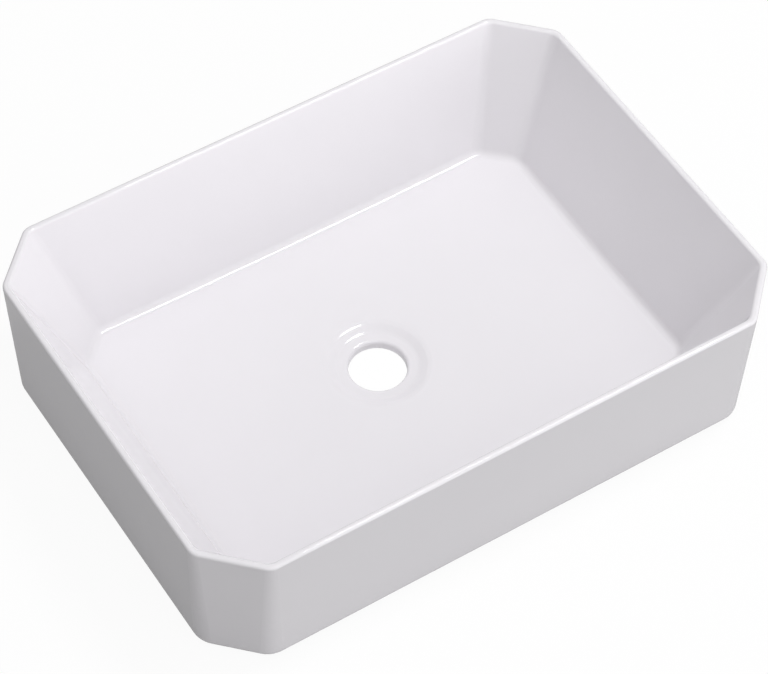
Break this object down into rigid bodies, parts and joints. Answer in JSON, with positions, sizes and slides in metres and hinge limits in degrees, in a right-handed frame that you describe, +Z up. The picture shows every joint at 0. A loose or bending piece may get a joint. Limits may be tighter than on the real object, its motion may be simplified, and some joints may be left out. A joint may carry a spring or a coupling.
{
  "type": "countertop basin",
  "caption": "Rectangular white ceramic countertop basin with cut corners, thin rim, sloping walls and a round open waste hole in a shallow dish.",
  "frame": {"origin": "on the worktop, under the middle of the basin", "axes": "+X to the right along the long side, -Y to the front, +Z up out of the bowl"},
  "size_m": [0.4998, 0.3608, 0.1249],
  "materials": {
    "glazed_ceramic": "gloss white glaze",
    "pad_rubber": "matte"
  },
  "bodies": {
    "root": {"basin_body": "glazed_ceramic", "foot_pad_front_left": "pad_rubber", "foot_pad_front_middle": "pad_rubber", "foot_pad_front_right": "pad_rubber", "foot_pad_back_left": "pad_rubber", "foot_pad_back_middle": "pad_rubber", "foot_pad_back_right": "pad_rubber"}
  },
  "joints": []
}
